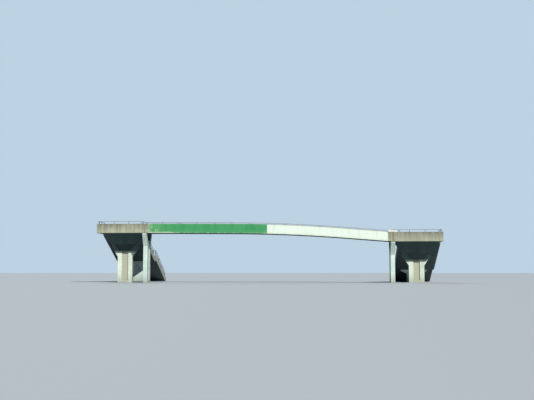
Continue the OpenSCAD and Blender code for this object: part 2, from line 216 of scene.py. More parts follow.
bpy.context.scene.view_settings.view_transform = "Standard"
world = bpy.data.worlds.new("studio")
bpy.context.scene.world = world
world.use_nodes = True
tree = world.node_tree
fill = tree.nodes["Background"]
fill.inputs["Color"].default_value = linear(FILL)
fill.inputs["Strength"].default_value = FILL_STRENGTH
backdrop = put(tree, "Background", {"Color": linear(BACKDROP), "Strength": BACKDROP_STRENGTH})
seen = put(tree, "LightPath", give="Is Camera Ray")
shown = put(tree, "MixShader", {0: seen, 1: fill.outputs[0], 2: backdrop})
tree.links.new(shown, tree.nodes["World Output"].inputs["Surface"])


def far_lamp(name, colour, strength, turn, height, spread):
    """A lamp with parallel light. turn, height and spread are in degrees."""
    lamp = bpy.data.objects.new(name, bpy.data.lights.new(name, "SUN"))
    lamp.data.color = linear(colour)[:3]
    lamp.data.energy = strength
    lamp.data.angle = math.radians(spread)
    lamp.rotation_euler = (math.pi / 2 - math.radians(height), 0, math.radians(turn))
    bpy.context.scene.collection.objects.link(lamp)
    print(name, turn, "degrees round and", height, "degrees up")


far_lamp("key lamp", "#FFFDF9", 4.39, turn=38.5, height=38.1, spread=1.0)
far_lamp("back lamp", "#DDE9F5", 0.9, turn=200, height=35, spread=30)

# %% [markdown]
# ## Where a face sits on the beam
#
# Weather marks a beam by height: the top edge collects dirt, the lower edge drips.
# This recipe gives a pattern the height above the deck's underside at every point, in
# metres, with the same parabola as above, so that the marks bend with the bridge.

# %% Height above the underside, in nodes
def beam_height(tree, place):
    """The height above the deck's underside, as a node output."""
    xyz = put(tree, "SeparateXYZ", {0: place}, give=None)
    x = put(tree, "Clamp", {0: xyz.outputs["X"], 1: -PIER_X, 2: PIER_X})
    along = put(tree, "Math", {0: x, 1: CURVE_START}, operation="SUBTRACT")
    bent = put(tree, "Clamp", {0: along, 1: 0.0, 2: CURVE_LENGTH})
    squared = put(tree, "Math", {0: bent, 1: bent}, operation="MULTIPLY")
    past = put(tree, "Math", {0: along, 1: CURVE_LENGTH}, operation="SUBTRACT")
    past = put(tree, "Math", {0: past, 1: 0.0}, operation="MAXIMUM")
    drop = put(tree, "Math", {0: squared, 1: 0.5 / CURVE_LENGTH, 2: past}, operation="MULTIPLY_ADD")
    steady = {0: x, 1: GRADE_LEFT, 2: PIER_X * GRADE_LEFT}
    fall = put(tree, "Math", steady, operation="MULTIPLY_ADD")
    steeper = {0: drop, 1: GRADE_RIGHT - GRADE_LEFT, 2: fall}
    fall = put(tree, "Math", steeper, operation="MULTIPLY_ADD")
    level = put(tree, "Math", {0: xyz.outputs["Z"], 1: SOFFIT_LEFT}, operation="SUBTRACT")
    return put(tree, "Math", {0: level, 1: fall}, operation="ADD")


print("beam height runs from 0 to", BEAM_HEIGHT, "m")

# %% [markdown]
# ## Board-marked concrete
#
# The side beams and the landings were poured against rough upright boards. Each board
# leaves its own tone and a fine ridge where it met the next, and rain later draws
# streaks down from the top. A brick texture stood on end gives boards and their
# joints at once: its long side runs up the wall and its row height is a board's width.
# On undersides the boards lie along the bridge, where their ends do show.

# %% Boards, as a pattern
BOARD_WIDTH, BOARD_LENGTH, BOARD_GAP = 0.18, 4.0, 0.012
WALL_SHARE = 0.05  # walls are lower than a board is long, so no board ends on them
LEVEL = 0.6  # a normal that is more upright than this belongs to a floor or an underside


def board_pattern(tree, place):
    """Upright boards on walls, boards along the bridge on undersides. Tone, and the joints."""
    z = put(tree, "SeparateXYZ", {0: place}, give="Z")
    facing = put(tree, "SeparateXYZ", {0: put(tree, "NewGeometry", give="True Normal")}, give="Z")
    level = put(tree, "Math", {0: facing}, operation="ABSOLUTE")
    level = put(tree, "Math", {0: level, 1: LEVEL}, operation="GREATER_THAN")
    across = put(tree, "VectorMath", {0: place, 1: (1, 1, 0)}, "Value", operation="DOT_PRODUCT")
    along = put(tree, "Math", {0: z, 1: WALL_SHARE}, operation="MULTIPLY")
    upright = put(tree, "CombineXYZ", {0: along, 1: across})
    laid = put(tree, "Mix", {"Factor": level, 4: upright, 5: place}, give=1, data_type="VECTOR")
    boards = put(tree, "TexBrick", {
        "Vector": laid, "Color1": (0.2, 0.2, 0.2, 1), "Color2": (0.85, 0.85, 0.85, 1),
        "Mortar": (0, 0, 0, 1), "Scale": 1.0, "Mortar Size": BOARD_GAP, "Mortar Smooth": 0.4,
        "Brick Width": BOARD_LENGTH, "Row Height": BOARD_WIDTH}, give=None, offset=0.37)
    return boards.outputs["Color"], boards.outputs["Fac"], facing


print("boards", BOARD_WIDTH, "m wide")

# %% [markdown]
# Rain doesn't fall down a wall evenly. It gathers at the top, finds a weak spot and
# runs down in a narrow track. Noise that is squeezed sideways and stretched upright
# gives tracks, and a fade with height lets them die out before they reach the foot.

# %% Rain tracks, as a pattern
TRACKS_UP = 0.22  # tracks to the metre, upwards, so each is several metres long


def rain_tracks(tree, place, per_metre, start, end):
    """Narrow upright tracks, from 0 to 1. start and end set how much of the wall they cover."""
    squeeze = (per_metre, per_metre, TRACKS_UP)
    drawn = put(tree, "VectorMath", {0: place, 1: squeeze}, operation="MULTIPLY")
    tracks = put(tree, "TexNoise", {"Vector": drawn, "Scale": 1.0, "Detail": 4, "Roughness": 0.6})
    return put(tree, "MapRange", {0: tracks, 1: start, 2: end})


print("rain tracks are", round(1 / TRACKS_UP, 1), "m long")

# %% [markdown]
# The concrete itself is cloudy from the mix, grainy from its sand and pitted where air
# was caught against the boards. The years added soil, which thickens towards the top
# edge, and moss on what stays wet. Undersides get a dark blue-grey painted shade.
# Sand is 2 mm across. It is drawn at 33 mm, so that it shows.

# %% Concrete of the beams and landings
BEAM_CLOUDS, BEAM_SAND, AIR_HOLES, MOSS_PATCHES = 0.8, 30, 9, 2.3  # to the metre
UNDERSIDE_SHADE = "#22383F"


def board_concrete(name, light, dark, dirt, moss):
    """Concrete cast against upright boards, brown at its top edge and paler towards its foot."""
    made, tree, shader, place = finish_named(name, Roughness=0.9, Specular_IOR_Level=0.3)
    boards, joints, facing = board_pattern(tree, place)
    cloudy = {"Vector": place, "Scale": BEAM_CLOUDS, "Detail": 6, "Roughness": 0.65}
    clouds = put(tree, "TexNoise", cloudy)
    sandy = {"Vector": place, "Scale": BEAM_SAND, "Detail": 3, "Roughness": 0.7}
    grain = put(tree, "TexNoise", sandy)
    tone = put(tree, "Mix", {"Factor": 0.38, 2: clouds, 3: boards})
    tone = put(tree, "Math", {0: grain, 1: 0.35, 2: tone}, operation="MULTIPLY_ADD")
    tone = put(tree, "MapRange", {0: tone, 1: 0.42, 2: 0.92})
    colour = put(tree, "Mix", {"Factor": tone, 6: linear(dark), 7: linear(light)}, **COLOUR_MIX)

    height = beam_height(tree, place)
    high = put(tree, "MapRange", {0: height, 1: 0.25, 2: BEAM_HEIGHT + 0.15})
    tracks = rain_tracks(tree, place, 3.2, 0.36, 0.66)
    soiled = put(tree, "Math", {0: tracks, 1: 0.7, 2: 0.3}, operation="MULTIPLY_ADD")
    soiled = put(tree, "Math", {0: soiled, 1: high}, operation="MULTIPLY")
    colour = put(tree, "Mix", {"Factor": soiled, 6: colour, 7: linear(dirt)}, **COLOUR_MIX)

    edge = put(tree, "MapRange", {0: height, 1: BEAM_HEIGHT - 0.10, 2: BEAM_HEIGHT})
    upper = put(tree, "MapRange", {0: facing, 1: 0.5, 2: 0.9})
    mossy = {"Vector": place, "Scale": MOSS_PATCHES, "Detail": 5, "Roughness": 0.7}
    growth = put(tree, "MapRange", {0: put(tree, "TexNoise", mossy), 1: 0.42, 2: 0.62})
    edge = put(tree, "Math", {0: edge, 1: upper}, operation="MAXIMUM")
    edge = put(tree, "Math", {0: edge, 1: growth}, operation="MULTIPLY")
    edge = put(tree, "Math", {0: edge, 1: 0.75}, operation="MULTIPLY")
    colour = put(tree, "Mix", {"Factor": edge, 6: colour, 7: linear(moss)}, **COLOUR_MIX)
    # painted shade: faces that look down are darkened to a dark blue-grey
    under = put(tree, "MapRange", {0: facing, 1: -0.5, 2: -0.9, 4: 0.85})
    colour = put(tree, "Mix", {"Factor": under, 6: colour, 7: linear(UNDERSIDE_SHADE)}, **COLOUR_MIX)

    holes = put(tree, "TexVoronoi", {"Vector": place, "Scale": AIR_HOLES}, "Distance")
    holes = put(tree, "MapRange", {0: holes, 1: 0.09, 2: 0.15})
    relief = put(tree, "Math", {0: joints, 1: 0.8, 2: holes}, operation="MULTIPLY_ADD")
    relief = put(tree, "Math", {0: grain, 1: 0.5, 2: relief}, operation="MULTIPLY_ADD")
    show(tree, shader, colour, relief, 0.6, 0.005)
    return made


raw_concrete = board_concrete("board-marked concrete", "#B9BCA5", "#888875", "#686657", "#3C413C")
print(raw_concrete.name)

# %% [markdown]
# ## Fair-faced concrete
#
# The piers are paler and smoother than the beam: their forms were lined with large
# smooth sheets. What marks them first is the seam between two sheets, and the row of
# small holes where ties held the form together. The seams are a brick texture again,
# this time unshifted, and the holes are the middles of a square grid.

# %% Sheets and tie holes, as a pattern
SHEET_WIDTH, SHEET_HEIGHT, SEAM = 1.25, 1.3, 0.006
TIE_SPACING, TIE_RIM, TIE_FLOOR = 0.65, 0.035, 0.025  # the last two as shares of the first


def sheet_pattern(tree, place, xyz):
    """The tone of each large sheet, the seams between them, and the tie holes."""
    across = put(tree, "VectorMath", {0: place, 1: (1, 1, 0)}, "Value", operation="DOT_PRODUCT")
    upright = put(tree, "CombineXYZ", {0: across, 1: xyz.outputs["Z"]})
    sheets = put(tree, "TexBrick", {
        "Vector": upright, "Color1": (0.35, 0.35, 0.35, 1), "Color2": (0.75, 0.75, 0.75, 1),
        "Mortar": (0, 0, 0, 1), "Scale": 1.0, "Mortar Size": SEAM, "Mortar Smooth": 0.3,
        "Brick Width": SHEET_WIDTH, "Row Height": SHEET_HEIGHT}, give=None, offset=0.0)
    cells = put(tree, "VectorMath", {0: upright, 1: (TIE_SPACING,) * 3}, operation="DIVIDE")
    cells = put(tree, "VectorMath", {0: cells}, operation="FRACTION")
    cells = put(tree, "VectorMath", {0: cells, 1: (0.5, 0.5, 0)}, "Value", operation="DISTANCE")
    ties = put(tree, "MapRange", {0: cells, 1: TIE_RIM, 2: TIE_FLOOR})
    return sheets.outputs["Color"], sheets.outputs["Fac"], ties


print("sheets", SHEET_WIDTH, "by", SHEET_HEIGHT, "m")

# %% [markdown]
# A dark blue-green painted shade lies where the deck's shadow falls: between the two arms
# of a main pier, and on the whole head of a stair pier down to the edge of its landing's
# shadow. Below that head a tan stain runs down the pier's middle panel. The faces between
# two arms look towards the deck's middle line, which is how they are found.

# %% Painted shade and a stain, as patterns
NOTCH_FOOT, LANDING_SHADE_FROM = -0.9, -2.04  # counted from the deck's underside, so they lie below it
DECK_MIDDLE = sum(corner.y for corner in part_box("deck_surfacing")) / 2
PANEL_MIDDLE, PANEL_HALF_WIDTH = 16.425, 0.35
# the first colour is a painted shade, the second a stain
NOTCH_AND_LANDING_SHADE, PANEL_STAIN = "#2F4E51", "#ACAC97"


def shade_in_notch(tree, xyz, facing, height):
    """Painted shade on the faces between the two arms of a main pier."""
    behind = put(tree, "Math", {0: xyz.outputs["Y"], 1: DECK_MIDDLE}, operation="SUBTRACT")
    inwards = put(tree, "Math", {0: behind, 1: facing.outputs["Y"]}, operation="MULTIPLY")
    inwards = put(tree, "MapRange", {0: inwards, 1: -0.2, 2: -0.4, 4: 0.9})
    above = put(tree, "MapRange", {0: height, 1: NOTCH_FOOT, 2: NOTCH_FOOT + 0.1})
    return put(tree, "Math", {0: above, 1: inwards}, operation="MULTIPLY")


def shade_under_landing(tree, clouds, height):
    """Painted shade on the head of a stair pier, with a ragged lower border at the landing's
    shadow.
    """
    ragged = put(tree, "Math", {0: clouds, 1: 0.3, 2: height}, operation="MULTIPLY_ADD")
    return put(tree, "MapRange", {0: ragged, 1: LANDING_SHADE_FROM, 2: LANDING_SHADE_FROM + 0.3, 4: 0.9})


def off_middle(tree, value, middle):
    """How far a value lies from a middle one, on either side."""
    apart = put(tree, "Math", {0: value, 1: middle}, operation="SUBTRACT")
    return put(tree, "Math", {0: apart}, operation="ABSOLUTE")


def middle_panel(tree, xyz):
    """The panel in the middle of a stair pier."""
    aside = put(tree, "Math", {0: xyz.outputs["X"]}, operation="ABSOLUTE")
    aside = off_middle(tree, aside, PANEL_MIDDLE)
    border = {0: aside, 1: PANEL_HALF_WIDTH + 0.05, 2: PANEL_HALF_WIDTH - 0.05, 4: 0.9}
    return put(tree, "MapRange", border)


print("middle of the deck at y", round(DECK_MIDDLE, 2), "m")

# %% [markdown]
# The rest is thin rain tracks, dirt thrown on the lowest metre, and a grey painted shade
# on the faces that look along the bridge. The sand is the same as in the beams, but a
# smooth form hides it, so it is fainter, and drawn at 25 mm.

# %% Concrete of the piers
PIER_CLOUDS, PIER_SAND = 1.3, 40  # to the metre
HEAD_FROM, HEAD_FULL = -3.3, -0.3  # metres over the deck's underside: rain tracks thicken
HEAD_SHADE_FROM, HEAD_SHADE_FULL = -1.7, -0.9  # and an even grey painted shade lies just below the deck
# SIDE_SHADE is a painted shade for the faces that look along the bridge
SPLASH_TOP, SIDE_SHADE = 1.1, 0.78
TIE_COLOUR = "#55544C"


def sheet_concrete(name, light, dark, dirt, under_landing):
    """Smooth concrete cast against large sheets, with splash, rain tracks and painted shade."""
    made, tree, shader, place = finish_named(name, Roughness=0.82, Specular_IOR_Level=0.35)
    xyz = put(tree, "SeparateXYZ", {0: place}, give=None)
    sheets, seams, ties = sheet_pattern(tree, place, xyz)
    cloudy = {"Vector": place, "Scale": PIER_CLOUDS, "Detail": 6, "Roughness": 0.6}
    clouds = put(tree, "TexNoise", cloudy)
    grain = put(tree, "TexNoise", {"Vector": place, "Scale": PIER_SAND, "Detail": 2})
    tone = put(tree, "Mix", {"Factor": 0.3, 2: clouds, 3: sheets})
    tone = put(tree, "Math", {0: grain, 1: 0.2, 2: tone}, operation="MULTIPLY_ADD")
    tone = put(tree, "MapRange", {0: tone, 1: 0.4, 2: 0.75})
    colour = put(tree, "Mix", {"Factor": tone, 6: linear(dark), 7: linear(light)}, **COLOUR_MIX)

    height = beam_height(tree, place)
    tracks = rain_tracks(tree, place, 5.0, 0.5, 0.72)
    head = put(tree, "MapRange", {0: height, 1: HEAD_FROM, 2: HEAD_FULL, 3: 0.15, 4: 0.85})
    # painted shade: an even grey just below the deck's underside
    film = put(tree, "MapRange", {0: height, 1: HEAD_SHADE_FROM, 2: HEAD_SHADE_FULL, 4: 0.34})
    tracks = put(tree, "Math", {0: tracks, 1: film}, operation="MAXIMUM")
    splash = put(tree, "MapRange", {0: xyz.outputs["Z"], 1: SPLASH_TOP, 2: 0.0})
    splash = put(tree, "Math", {0: splash, 1: clouds}, operation="MULTIPLY")
    normal = put(tree, "NewGeometry", give="True Normal")
    facing = put(tree, "SeparateXYZ", {0: normal}, give=None)
    # painted shade: faces that look along the bridge are darkened against the front; splash is dirt
    # on the lowest metre
    sideways = put(tree, "Math", {0: facing.outputs["X"]}, operation="ABSOLUTE")
    side_shade_and_splash = put(tree, "Math", {0: sideways, 1: SIDE_SHADE, 2: splash}, operation="MULTIPLY_ADD")
    soiled = put(tree, "Math", {0: tracks, 1: head, 2: side_shade_and_splash}, operation="MULTIPLY_ADD")
    soiled = put(tree, "Clamp", {0: soiled, 1: 0.0, 2: 0.8})
    colour = put(tree, "Mix", {"Factor": soiled, 6: colour, 7: linear(dirt)}, **COLOUR_MIX)

    if under_landing:
        stained = {"Factor": middle_panel(tree, xyz), 6: colour, 7: linear(PANEL_STAIN)}
        colour = put(tree, "Mix", stained, **COLOUR_MIX)
        # painted shade: dark blue-green over the stair pier's head, down to the edge of the
        # landing's shadow
        wet = shade_under_landing(tree, clouds, height)
    else:
        # painted shade: dark blue-green on the faces between the two arms of a main pier
        wet = shade_in_notch(tree, xyz, facing, height)
    colour = put(tree, "Mix", {"Factor": wet, 6: colour, 7: linear(NOTCH_AND_LANDING_SHADE)}, **COLOUR_MIX)
    colour = put(tree, "Mix", {"Factor": ties, 6: colour, 7: linear(TIE_COLOUR)}, **COLOUR_MIX)

    relief = put(tree, "Math", {0: ties, 1: seams}, operation="MAXIMUM")
    relief = put(tree, "Math", {0: grain, 1: 0.15, 2: relief}, operation="MULTIPLY_ADD")
    show(tree, shader, colour, relief, 0.5, 0.008, invert=True)
    return made


pier_concrete = sheet_concrete("fair-faced concrete", "#DEF0E6", "#BBCDC3", "#737D76", False)
# the stair piers' copy, with painted shade on their heads
shaded_pier_concrete = sheet_concrete("fair-faced concrete with painted shade", "#E2ECDA", "#C2CBB9", "#737D76", True)
print(pier_concrete.name, "and", shaded_pier_concrete.name)

# %% [markdown]
# ## The staircase's concrete
#
# Steps wear and collect dirt at once: feet polish the middle of the flight pale, and
# dirt stays along the walls and in the corners. The flight lies between two walls, so
# the distance from its middle line is enough to tell the two apart. Both staircases
# have the same distance from the middle of the bridge, so x is taken without its sign.

# %% Concrete of the stairs
STAIR_MIDDLE, FLIGHT_HALF_WIDTH = 16.825, 2.075
STAIR_CLOUDS, STAIR_SAND, DIRT_PATCHES = 1.1, 35, 2.6  # to the metre


def step_concrete(name, light, dark, dirt):
    """Concrete of steps and stair walls, polished in the walking line, dirty at the sides."""
    made, tree, shader, place = finish_named(name, Roughness=0.9, Specular_IOR_Level=0.3)
    x = put(tree, "SeparateXYZ", {0: place}, give="X")
    facing = put(tree, "SeparateXYZ", {0: put(tree, "NewGeometry", give="True Normal")}, give="Z")
    cloudy = {"Vector": place, "Scale": STAIR_CLOUDS, "Detail": 6, "Roughness": 0.65}
    clouds = put(tree, "TexNoise", cloudy)
    sandy = {"Vector": place, "Scale": STAIR_SAND, "Detail": 3, "Roughness": 0.7}
    grain = put(tree, "TexNoise", sandy)
    tone = put(tree, "Math", {0: grain, 1: 0.3, 2: clouds}, operation="MULTIPLY_ADD")
    tone = put(tree, "MapRange", {0: tone, 1: 0.42, 2: 0.85})
    colour = put(tree, "Mix", {"Factor": tone, 6: linear(dark), 7: linear(light)}, **COLOUR_MIX)

    side = off_middle(tree, put(tree, "Math", {0: x}, operation="ABSOLUTE"), STAIR_MIDDLE)
    side = put(tree, "MapRange", {0: side, 1: FLIGHT_HALF_WIDTH * 0.35, 2: FLIGHT_HALF_WIDTH})
    top = put(tree, "MapRange", {0: facing, 1: 0.6, 2: 0.9})
    patchy = {"Vector": place, "Scale": DIRT_PATCHES, "Detail": 5, "Roughness": 0.7}
    dirty = put(tree, "TexNoise", patchy)
    dirty = put(tree, "MapRange", {0: dirty, 1: 0.35, 2: 0.7, 3: 0.25, 4: 1.0})
    on_steps = put(tree, "Math", {0: side, 1: top}, operation="MULTIPLY")
    tracks = rain_tracks(tree, place, 3.5, 0.42, 0.7)
    on_walls = put(tree, "Math", {0: tracks, 1: 0.5}, operation="MULTIPLY")
    soiled = put(tree, "Math", {0: on_steps, 1: on_walls}, operation="MAXIMUM")
    soiled = put(tree, "Math", {0: soiled, 1: dirty}, operation="MULTIPLY")
    colour = put(tree, "Mix", {"Factor": soiled, 6: colour, 7: linear(dirt)}, **COLOUR_MIX)
    # painted shade: the flights' undersides are darkened to the same dark blue-grey
    under = put(tree, "MapRange", {0: facing, 1: -0.3, 2: -0.8, 4: 0.85})
    colour = put(tree, "Mix", {"Factor": under, 6: colour, 7: linear(UNDERSIDE_SHADE)}, **COLOUR_MIX)
    show(tree, shader, colour, grain, 0.5, 0.004)
    return made


stair_concrete = step_concrete("stair concrete", "#A1A598", "#7F8478", "#52554B")
print(stair_concrete.name)

# %% [markdown]
# ## Masonry paint
#
# Half of the beam's face is green and half is white. Both are thick masonry paints,
# rolled on: matt, a little chalky, and marked by what runs over the top edge. Paint
# on concrete fails from its borders, so the concrete shows again in ragged patches at
# the green's left end and along its lower edge, and almost nowhere else. That end is
# a recipe of its own: it counts metres from the place where the green starts.

# %% The worn end of a coat, as a pattern
def worn_end(tree, place, height, start):
    """Near the place where a coat starts: how thin it is, and how much more of it is gone."""
    x = put(tree, "SeparateXYZ", {0: place}, give="X")
    from_end = put(tree, "Math", {0: x, 1: start}, operation="SUBTRACT")
    streaks = rain_tracks(tree, place, 2.4, 0.44, 0.6)
    far = put(tree, "MapRange", {0: from_end, 1: 4.0, 2: 0.5, 4: 0.3})
    thinned = put(tree, "Math", {0: streaks, 1: far}, operation="MULTIPLY")
    at_end = put(tree, "MapRange", {0: from_end, 1: 0.6, 2: 0.1, 4: 0.9})
    thinned = put(tree, "Math", {0: thinned, 1: at_end}, operation="MAXIMUM")

    end = put(tree, "MapRange", {0: from_end, 1: 0.5, 2: 0.0, 4: 0.24})
    near = put(tree, "MapRange", {0: from_end, 1: 3.4, 2: 2.2, 4: 0.42})
    foot = put(tree, "MapRange", {0: height, 1: 0.2, 2: 0.06})
    foot = put(tree, "Math", {0: foot, 1: near}, operation="MULTIPLY")
    patch = put(tree, "MapRange", {0: from_end, 1: 4.0, 2: 0.7, 4: 0.1})
    end = put(tree, "Math", {0: end, 1: foot}, operation="MAXIMUM")
    return thinned, put(tree, "Math", {0: end, 1: patch}, operation="MAXIMUM")


paint_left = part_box("paint_green")[0].x
print("green paint starts at x", round(paint_left, 2), "m")

# %% Paint
FADED_CLOUDS, FLAKES, ROLLER_NAP = 0.7, 5.0, 60  # to the metre, the nap drawn at 17 mm, not 5
FLAKE_STRETCH = (1.0, 1.0, 0.45)


def masonry_paint(name, coat, faded, stain, bare, thin=None, start=None):
    """Thick matt paint, faded and stained. Where start is given, it is thin and worn from there."""
    made, tree, shader, place = finish_named(name, Roughness=0.62, Specular_IOR_Level=0.4)
    height = beam_height(tree, place)
    cloudy = {"Vector": place, "Scale": FADED_CLOUDS, "Detail": 5, "Roughness": 0.6}
    clouds = put(tree, "MapRange", {0: put(tree, "TexNoise", cloudy), 1: 0.35, 2: 0.7})
    chalk = put(tree, "MapRange", {0: height, 1: 0.4, 2: 0.05, 4: 0.45})
    crown = {0: height, 1: BEAM_HEIGHT - 0.14, 2: BEAM_HEIGHT - 0.03, 4: 0.8}
    chalk = put(tree, "Math", {0: chalk, 1: put(tree, "MapRange", crown)}, operation="MAXIMUM")
    chalk = put(tree, "Math", {0: clouds, 1: 0.5, 2: chalk}, operation="MULTIPLY_ADD")
    chalk = put(tree, "Clamp", {0: chalk})
    colour = put(tree, "Mix", {"Factor": chalk, 6: linear(coat), 7: linear(faded)}, **COLOUR_MIX)
    tracks = rain_tracks(tree, place, 2.6, 0.5, 0.74)
    high = put(tree, "MapRange", {0: height, 1: 0.0, 2: 1.0, 3: 0.12, 4: 0.5})
    soiled = put(tree, "Math", {0: tracks, 1: high}, operation="MULTIPLY")
    colour = put(tree, "Mix", {"Factor": soiled, 6: colour, 7: linear(stain)}, **COLOUR_MIX)

    drawn = put(tree, "VectorMath", {0: place, 1: FLAKE_STRETCH}, operation="MULTIPLY")
    flaky = {"Vector": drawn, "Scale": FLAKES, "Detail": 6, "Roughness": 0.62}
    arris = put(tree, "MapRange", {0: height, 1: 0.1, 2: 0.03, 4: 0.21})
    worn = put(tree, "Math", {0: put(tree, "TexNoise", flaky), 1: arris}, operation="ADD")
    if start is not None:
        thinned, gone = worn_end(tree, place, height, start)
        colour = put(tree, "Mix", {"Factor": thinned, 6: colour, 7: linear(thin)}, **COLOUR_MIX)
        worn = put(tree, "Math", {0: worn, 1: gone}, operation="ADD")
    worn = put(tree, "MapRange", {0: worn, 1: 0.68, 2: 0.78})
    colour = put(tree, "Mix", {"Factor": worn, 6: colour, 7: linear(bare)}, **COLOUR_MIX)

    nap = put(tree, "TexNoise", {"Vector": place, "Scale": ROLLER_NAP, "Detail": 2})
    relief = put(tree, "Math", {0: nap, 1: 0.3}, operation="MULTIPLY")
    relief = put(tree, "Math", {0: relief, 1: worn}, operation="SUBTRACT")
    show(tree, shader, colour, relief, 0.5, 0.003)
    return made


green_paint = masonry_paint("green masonry paint", "#3A975A", "#51A66C", "#2F7347", "#B6CDAE",
                            "#7FAE80", paint_left)
white_paint = masonry_paint("white masonry paint", "#E5F2E3", "#DDE9DA", "#BFC6B8", "#C6C8B6")
print(green_paint.name, "and", white_paint.name)

# %% [markdown]
# ## Rolled asphalt
#
# The walkway is black bitumen full of pale crushed stone, rolled flat. Feet keep a
# band in the middle clean and pale, and grit and dead leaves darken the two gutters.
# The real stone is 4 to 8 mm across. It is drawn at 25 mm, so that it shows.

# %% Asphalt
STONE_DRAWN = 0.025
WORN_PATCHES = 1.2  # to the metre

asphalt, tree, shader, place = finish_named(
    "rolled asphalt", Roughness=0.93, Specular_IOR_Level=0.3)
stone = put(tree, "TexVoronoi", {"Vector": place, "Scale": 1 / STONE_DRAWN}, give="Color")
stone = put(tree, "SeparateXYZ", {0: stone}, give=0)
patchy = {"Vector": place, "Scale": WORN_PATCHES, "Detail": 5, "Roughness": 0.6}
tone = put(tree, "Mix", {"Factor": 0.45, 2: put(tree, "TexNoise", patchy), 3: stone})
worn_band = off_middle(tree, put(tree, "SeparateXYZ", {0: place}, give="Y"), DECK_MIDDLE)
worn_band = put(tree, "MapRange", {0: worn_band, 1: 0.9, 2: 0.35, 3: -0.22, 4: 0.18})
tone = put(tree, "Math", {0: tone, 1: worn_band}, operation="ADD")
tone = put(tree, "MapRange", {0: tone, 1: 0.2, 2: 0.8})
bitumen_to_stone = {"Factor": tone, 6: linear("#39393A"), 7: linear("#868684")}
show(tree, shader, put(tree, "Mix", bitumen_to_stone, **COLOUR_MIX), stone, 0.5, 0.003)
print("stone drawn", STONE_DRAWN, "m across")

# %% [markdown]
# ## Galvanised steel
#
# The rails were dipped in molten zinc. Fresh zinc has bright flakes a centimetre or
# two across; after years outdoors they dull to a grey skin, and brown dust and rust
# from cut ends settle on it. So the flakes are only a faint change of tone and of
# roughness, and a patchy brown film lies over them.

# %% Zinc
FLAKE = 0.018
BROWN_PATCHES = 3.5  # to the metre

zinc, tree, shader, place = finish_named("galvanised steel", Metallic=1.0)
flakes = put(tree, "TexVoronoi", {"Vector": place, "Scale": 1 / FLAKE}, give="Color")
flakes = put(tree, "SeparateXYZ", {0: flakes}, give=0)
dull_and_bright = {"Factor": flakes, 6: linear("#8D918F"), 7: linear("#A9ACA8")}
colour = put(tree, "Mix", dull_and_bright, **COLOUR_MIX)
patchy = {"Vector": place, "Scale": BROWN_PATCHES, "Detail": 6, "Roughness": 0.7}
film = put(tree, "MapRange", {0: put(tree, "TexNoise", patchy), 1: 0.42, 2: 0.66, 4: 0.75})
colour = put(tree, "Mix", {"Factor": film, 6: colour, 7: linear("#6B5442")}, **COLOUR_MIX)
tree.links.new(colour, shader.inputs["Base Color"])
rough = put(tree, "Math", {0: flakes, 1: 0.12, 2: 0.4}, operation="MULTIPLY_ADD")
rough = put(tree, "Math", {0: film, 1: 0.3, 2: rough}, operation="MULTIPLY_ADD")
tree.links.new(rough, shader.inputs["Roughness"])
dull = put(tree, "MapRange", {0: film, 1: 0.0, 2: 0.75, 3: 0.9, 4: 0.25})
tree.links.new(dull, shader.inputs["Metallic"])
print("zinc flakes", FLAKE, "m across")

# %% [markdown]
# ## Rubber, bitumen, sealant and coated sheet
#
# Neoprene carries the deck and closes its joints: black, slightly greyed by sun.
# The sealant in the faces is a stone-grey one, so that the joint shows less.
# Bitumen seals the foot of the side beams: black too, softer and shinier. The sheet
# on the rail is powder-coated steel, the smoothest surface here, chalked by weather
# in slow patches. Each is a base colour with one slow noise for its age and a fine
# one, 11 mm from bump to bump, for its skin.

# %% Four small finishes
SKIN = 90  # bumps to the metre


def small_finish(name, base, aged, patches, depth, **sockets):
    """An even finish with slow patches of age, counted to the metre, and a fine relief."""
    made, tree, shader, place = finish_named(name, **sockets)
    patchy = {"Vector": place, "Scale": patches, "Detail": 5, "Roughness": 0.65}
    age = put(tree, "MapRange", {0: put(tree, "TexNoise", patchy), 1: 0.4, 2: 0.68})
    colour = put(tree, "Mix", {"Factor": age, 6: linear(base), 7: linear(aged)}, **COLOUR_MIX)
    fine = put(tree, "TexNoise", {"Vector": place, "Scale": SKIN, "Detail": 3})
    show(tree, shader, colour, fine, 0.4, depth)
    return made


neoprene = small_finish("neoprene", "#1E1E1F", "#3A3936", 4, 0.001, Roughness=0.65)
bitumen = small_finish("bitumen", "#191817", "#35322C", 3, 0.003, Roughness=0.4)
soft_filler = small_finish("polyurethane sealant", "#8F9085", "#77776D", 6, 0.0006, Roughness=0.55)
sheet_coat = small_finish("powder-coated sheet", "#F0F0EC", "#D9D6CB", 2.5, 0.0004, Roughness=0.38)
print(neoprene.name, bitumen.name, soft_filler.name, sheet_coat.name, sep=", ")

# %% [markdown]
# ## Dressing the frame's own parts
#
# Most parts have the right shape already and only need their finish. The record
# names a material slot for each; the stairs are the same concrete with different
# wear, so they are told apart by name.

# %% Finishes on the frame
BY_SLOT = {
    "raw_concrete": raw_concrete, "pier_concrete": pier_concrete, "asphalt": asphalt,
    "green_coat": green_paint, "white_coat": white_paint, "joint_rubber": neoprene,
    "galvanised_steel": zinc, "plate_paint": sheet_coat}
STAIR_PARTS = ("waist", "treads", "mid_landing", "stringer", "landing_slab")
SLOTS = {name: part.data.materials[0].name for name, part in nodes.items()}


def finish_of(node):
    """The finish that a part of the frame gets."""
    if node.startswith(STAIR_PARTS):
        return stair_concrete
    return shaded_pier_concrete if node.startswith("stair_pier") else BY_SLOT[SLOTS[node]]


for name, part in nodes.items():
    part.material_slots[0].link = "OBJECT"
    part.material_slots[0].material = finish_of(name)
print(len(nodes), "parts have their finish")

